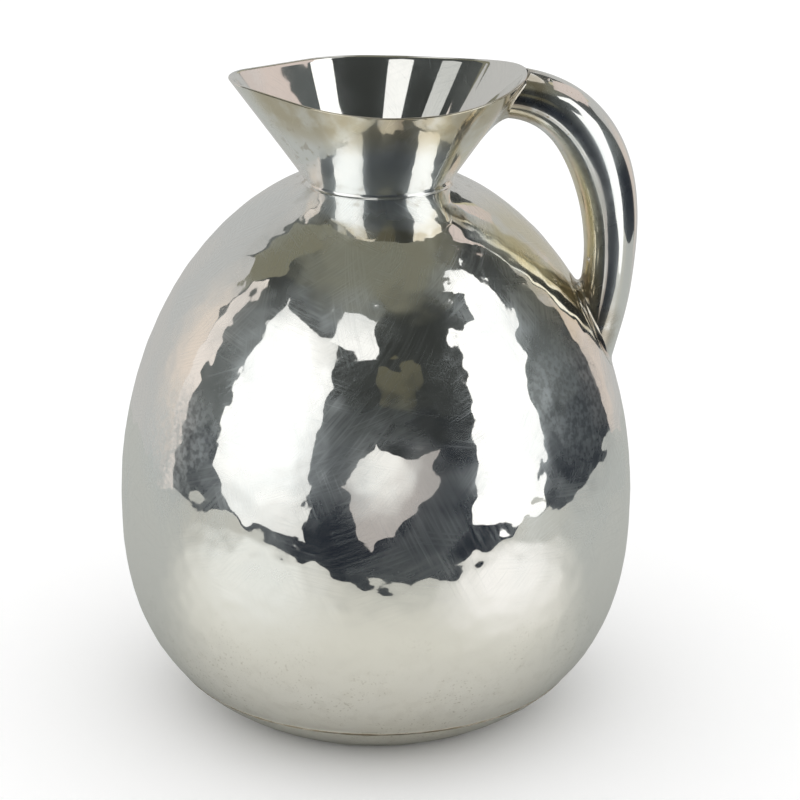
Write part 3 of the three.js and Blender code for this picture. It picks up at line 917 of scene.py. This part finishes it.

# Table and studio: a white sheet on a table, lit softly all round. Soft boxes, cards and the dim room
# that only the polished silver mirrors stand about it, as they do when silver is photographed. The cards
# and the room glow, with the room's light and shade painted on them.
table_outline = [(-0.47, -0.30), (-0.16, -0.285), (0.0, -0.237),
                 (0.44, -0.235), (0.44, 0.27), (-0.47, 0.27)]
floor_spread = 15.0
paper_seen = (1, 1, 1, 1)
# Only the silver sees these colours of the paper: painted shadow round the jug, painted shade far off and
# towards the sides, and two painted pools of soft-box light in front. The camera sees the paper plain
# white.
paper_shadow_near = (0.62, 0.61, 0.56, 1)
paper_lit_middle = (0.645, 0.635, 0.565, 1)
paper_shade_far = (0.47, 0.465, 0.42, 1)
paper_shade_side = (0.435, 0.443, 0.418, 1)
near_to_middle = (0.05, 0.14)
middle_to_far = (0.13, 0.27)
front_to_side = (-0.08, 0.01)
left_light_pool = ((-0.18, -0.17, 0), (0.04, 0.17), (0.77, 0.775, 0.73, 1))
right_light_pool = ((0.18, -0.145, 0), (0.03, 0.14), (0.91, 0.895, 0.86, 1))
paper_roughness = 0.9
room_light = 1.1

paper = bpy.data.materials.new("paper_white_painted_shade")
paper.use_nodes = True
paper_shader = paper.node_tree.nodes["Principled BSDF"]
seen = Wire(paper.node_tree.nodes.new("ShaderNodeLightPath").outputs["Is Camera Ray"])
on_paper = place_on(paper)
# The paper's colour in the silver: painted shadow near the jug, painted shade far off and to the sides,
# and painted pools of light to the left and right in front.
off_jug = on_paper.far_from((0, 0, 0))
paper_painted_light = off_jug.between(*near_to_middle).tinted(paper_shadow_near, paper_lit_middle)
paper_painted_light = off_jug.between(*middle_to_far).tinted(paper_painted_light, paper_shade_far)
paper_painted_light = on_paper.axis(1).between(*front_to_side).tinted(paper_painted_light, paper_shade_side)
for pool, fade, colour in (left_light_pool, right_light_pool):
    paper_painted_light = on_paper.far_from(pool).between(*fade).tinted(colour, paper_painted_light)
paper_colour = seen.tinted(paper_painted_light, paper_seen)
paper.node_tree.links.new(paper_colour.socket, paper_shader.inputs["Base Color"])
paper_shader.inputs["Roughness"].default_value = paper_roughness
paper_shader.inputs["Specular IOR Level"].default_value = 0.0


def staged(name, points, faces, look):
    mesh = bpy.data.meshes.new(name)
    mesh.from_pydata(points, [], faces)
    mesh.materials.append(look)
    thing = bpy.data.objects.new(name, mesh)
    bpy.context.scene.collection.objects.link(thing)
    return thing


corners = len(table_outline)
table_corners = [(x, y, 0) for x, y in table_outline]
floor_corners = [(floor_spread * x, floor_spread * y, 0) for x, y in table_outline]
staged("table_paper", table_corners, [list(range(corners))], paper)
around_table = [[k, (k + 1) % corners, corners + (k + 1) % corners, corners + k] for k in range(corners)]
floor = staged("floor_paper", floor_corners + table_corners, around_table, paper)
floor.visible_glossy = False

world = bpy.data.worlds.new("soft_room")
bpy.context.scene.world = world
world.use_nodes = True
world.node_tree.nodes["Background"].inputs["Color"].default_value = (1, 1, 1, 1)
world.node_tree.nodes["Background"].inputs["Strength"].default_value = room_light


def display(red, green, blue):
    """A colour as it shows on the screen, 0 to 255, as the renderer counts light."""
    shares = [value / 255 for value in (red, green, blue)]
    return tuple(s / 12.92 if s < 0.04045 else ((s + 0.055) / 1.055) ** 2.4 for s in shares) + (1,)


def glowing(name, colour, strength=1.0):
    glow = bpy.data.materials.new(name)
    glow.use_nodes = True
    tree = glow.node_tree
    tree.nodes.remove(tree.nodes["Principled BSDF"])
    light = tree.nodes.new("ShaderNodeEmission")
    light.inputs["Color"].default_value = colour
    light.inputs["Strength"].default_value = strength
    tree.links.new(light.outputs[0], tree.nodes["Material Output"].inputs["Surface"])
    return glow


# Lets the colour of a glowing card change over it
def shaded(glow, colour):
    glow.node_tree.links.new(colour.socket, glow.node_tree.nodes["Emission"].inputs["Color"])


def mirrored_only(name, points, faces, look):
    thing = staged(name, points, faces, look)
    thing.visible_camera = False
    thing.visible_diffuse = False
    thing.visible_transmission = False
    thing.visible_volume_scatter = False
    thing.visible_shadow = False


# A direction from the jug in degrees: bearing 0 is towards the viewer and 90 to the right
def seen_from_jug(bearing, rise, reach):
    b, e = math.radians(bearing), math.radians(rise)
    return (reach * math.sin(b) * math.cos(e), -reach * math.cos(b) * math.cos(e),
            belly_height * mm + reach * math.sin(e))


# A card high up or far off, its corners given as directions
def hung_card(name, look, outline, reach=1.5):
    points = [seen_from_jug(bearing, rise, reach) for bearing, rise in outline]
    mirrored_only(name, points, [list(range(len(points)))], look)


# A card that stands upright near the jug, square to a bearing, its corners given across and up in metres
def standing_card(name, look, bearing, reach, outline):
    b = math.radians(bearing)
    points = []
    for across, height in outline:
        x = reach * math.sin(b) + across * math.cos(b)
        y = -reach * math.cos(b) + across * math.sin(b)
        points.append((x, y, height))
    mirrored_only(name, points, [list(range(len(points)))], look)


# A card that curves round the jug, given column by column: its bearing, lowest rise and highest rise
def curved_card(name, look, columns, reach=0.56):
    points = [seen_from_jug(bearing, rise, reach)
              for bearing, low, high in columns for rise in (low, high)]
    faces = [[2 * k, 2 * k + 2, 2 * k + 3, 2 * k + 1] for k in range(len(columns) - 1)]
    mirrored_only(name, points, faces, look)


# The dim room: a dome that is darkest low down, greyer at the sides and olive towards the ceiling
room_reach = 4.5
room_low = display(25, 30, 39)
room_high = display(50, 52, 50)
room_side = display(90, 94, 93)
room_ceiling = display(118, 117, 102)
dome_bearings = 72
dome_rises = 30
dome_lowest = -70
dome_highest = 89.9
room = glowing("room_dim", room_low)
room_place = place_on(room)
room_sine = room_place.axis(2) / room_reach
room_aside = room_place.axis(0) / room_reach
beside = (room_aside * room_aside).between(0.55, 0.9) * room_sine.between(0.0, 0.2)
room_colour = room_sine.between(0.0, 0.55).tinted(room_low, room_high)
room_colour = beside.tinted(room_colour, room_side)
room_colour = room_sine.between(0.78, 0.95).tinted(room_colour, room_ceiling)
shaded(room, room_colour)
dome_rings = np.linspace(dome_lowest, dome_highest, dome_rises)
dome_points = [seen_from_jug(360 * j / dome_bearings, rise, room_reach)
               for rise in dome_rings for j in range(dome_bearings)]
mirrored_only("room_dome", dome_points, grid_faces(dome_rises, dome_bearings, False), room)


# A soft box is brightest round its lamp and falls off towards its edges
def soft_box(name, lamp, full, edge, near, far):
    look = glowing(name, full)
    shaded(look, place_on(look).far_from(lamp).between(near, far).tinted(full, edge))
    return look


box_full = (1.25, 1.25, 1.22, 1)
box_edge = (0.72, 0.72, 0.69, 1)
left_box = soft_box("soft_box_left_white", (-0.20, -0.16, 0.22), box_full, box_edge, near=0.08, far=0.24)
right_box = soft_box("soft_box_right_white", (0.25, -0.12, 0.28), box_full, box_edge, near=0.20, far=0.42)
soft_white = glowing("soft_white", (1.0, 1.0, 0.97, 1), strength=1.05)
left_behind = glowing("soft_box_behind_grey", display(205, 206, 202))
lip_rose = glowing("card_lip_rose", display(212, 198, 190))
standing_card("soft_box_left", left_box, bearing=-50, reach=0.28, outline=[
    (-0.094, 0.394), (-0.087, 0.216), (-0.098, 0.106), (-0.056, 0.058), (0.033, 0.042), (0.118, 0.027),
    (0.126, 0.116), (0.135, 0.198), (0.152, 0.327), (0.147, 0.372), (0.117, 0.390), (0.018, 0.372)])
standing_card("lamp_upper", soft_white, bearing=-17, reach=0.28, outline=[
    (-0.057, 0.350), (-0.055, 0.430), (-0.046, 0.490), (0.010, 0.500),
    (0.076, 0.478), (0.084, 0.400), (0.082, 0.335), (0.000, 0.335)])
standing_card("soft_box_right", right_box, bearing=65, reach=0.28, outline=[
    (-0.137, 0.043), (-0.062, 0.037), (0.022, 0.038), (0.029, 0.115), (0.040, 0.171), (0.072, 0.239),
    (0.111, 0.285), (0.132, 0.322), (0.120, 0.369), (0.131, 0.512), (0.057, 0.527), (-0.008, 0.536),
    (-0.041, 0.487), (0.008, 0.451), (0.017, 0.387), (-0.011, 0.348), (-0.065, 0.354), (-0.094, 0.370),
    (-0.104, 0.228), (-0.115, 0.154)])
hung_card("box_behind_left", left_behind, [
    (-80, 34), (-79, 40), (-70, 43.5), (-58, 44.5), (-55, 41), (-58, 34)], reach=4.2)
standing_card("lip_card", lip_rose, bearing=90, reach=0.12, outline=[
    (0.010, 0.2515), (0.018, 0.249), (0.0205, 0.2455), (0.0225, 0.240), (0.026, 0.237), (0.027, 0.228),
    (0.140, 0.228), (0.140, 0.320), (0.010, 0.320)])
hung_card("top_panel_left", soft_white, [
    (-166, 44), (-150, 57), (-134, 64), (-121, 69), (-117, 76), (-119, 82), (-140, 80), (-158, 71),
    (-170, 58), (-172, 48)])
hung_card("top_panel_right", soft_white, [
    (122, 66), (124, 72), (138, 71), (152, 63), (163, 52), (168, 44), (163, 40), (152, 50), (140, 57),
    (128, 62)])
front_white = soft_box("front_card_white", (0.0, -0.12, 0.111), display(246, 245, 240),
                       display(178, 172, 168), near=0.009, far=0.036)
standing_card("front_card", front_white, bearing=5, reach=0.12, outline=[
    (-0.010, 0.120), (0.001, 0.116), (0.015, 0.113), (0.022, 0.115), (0.033, 0.114), (0.030, 0.095),
    (0.022, 0.089), (0.010, 0.082), (-0.002, 0.074), (-0.014, 0.066), (-0.019, 0.070), (-0.025, 0.084),
    (-0.034, 0.095), (-0.029, 0.100), (-0.022, 0.105), (-0.022, 0.110)])
rose_white = glowing("card_rose", display(236, 227, 219))
standing_card("band_left", rose_white, bearing=-100, reach=0.40, outline=[
    (0.061, 0.464), (0.065, 0.299), (0.060, 0.161), (0.055, 0.070), (0.043, 0.002), (0.012, 0.002),
    (0.013, 0.102), (-0.005, 0.166), (-0.008, 0.260), (0.009, 0.349), (0.023, 0.432)])
olive = glowing("card_olive", display(120, 118, 100))
olive_fading = soft_box("card_olive_fading", (0.09, -0.49, 0.47), display(94, 92, 76), room_high,
                        near=0.07, far=0.16)
standing_card("olive_card", olive_fading, bearing=10, reach=0.50, outline=[
    (-0.089, 0.340), (-0.079, 0.490), (0.103, 0.495), (0.095, 0.340)])
khaki = glowing("card_khaki", display(196, 188, 156))
hung_card("khaki_left", olive, [
    (-128, 62), (-118, 68), (-100, 66), (-92, 55), (-96, 44), (-104, 36), (-110, 28), (-118, 38),
    (-128, 50)])
hung_card("khaki_right", khaki, [
    (126, 58), (131, 40), (136, 15), (146, 0), (150, 30), (146, 48), (136, 56)])
# The sweeps stand for the white backdrop: they glow lavender grey as its painted shade, and peach at their
# near edges as painted light.
lavender_grey = display(190, 189, 186)
peach = soft_box("card_peach", (-0.42, 0.02, 0.20), display(226, 213, 200), lavender_grey,
                 near=0.06, far=0.26)
peach_right = soft_box("card_peach_right", (0.36, 0.24, 0.12), display(212, 200, 190), lavender_grey,
                       near=0.06, far=0.20)
lavender = glowing("card_lavender", lavender_grey)
standing_card("sweep_left_edge", peach, bearing=-115, reach=0.42, outline=[
    (0.150, 0.002), (0.130, 0.088), (0.106, 0.171), (0.094, 0.292), (0.112, 0.370), (0.020, 0.438),
    (-0.060, 0.300), (-0.080, 0.113), (-0.080, 0.002)])
curved_card("sweep_left", lavender, [
    (-186, -20, 42), (-172, -20, 42), (-160, -20, 48), (-148, -20, 54), (-136, -20, 56), (-124, -20, 50),
    (-114, -20, 36)])
hung_card("sweep_right_edge", peach_right, [
    (127, -14), (125, -4), (123, 4), (120, 10), (116.5, 18), (112, 30), (111, 38), (122, 42), (132, 36),
    (142, 20), (148, 2), (150, -14)], reach=0.44)
curved_card("sweep_right", lavender, [
    (130, -20, 26), (136, -20, 32), (148, -20, 36), (160, -20, 40), (172, -20, 42), (184, -20, 42)])

# The viewer stands in front of the jug and looks down on it a little
camera_data = bpy.data.cameras.new("viewer")
camera_data.sensor_width = 36.0
camera_data.lens = 138.66
camera_data.shift_x = 0.0294
camera = bpy.data.objects.new("viewer", camera_data)
bpy.context.scene.collection.objects.link(camera)
elevation = math.radians(20.6)
roll = math.radians(0.40)
distance = 0.9
aim = 0.09154
camera.location = (0, -distance * math.cos(elevation), aim + distance * math.sin(elevation))
camera.rotation_mode = "XYZ"
camera.rotation_euler = (math.pi / 2 - elevation, 0, 0)
camera.rotation_euler.rotate_axis("Z", roll)
bpy.context.scene.camera = camera
bpy.context.scene.view_settings.view_transform = "Standard"
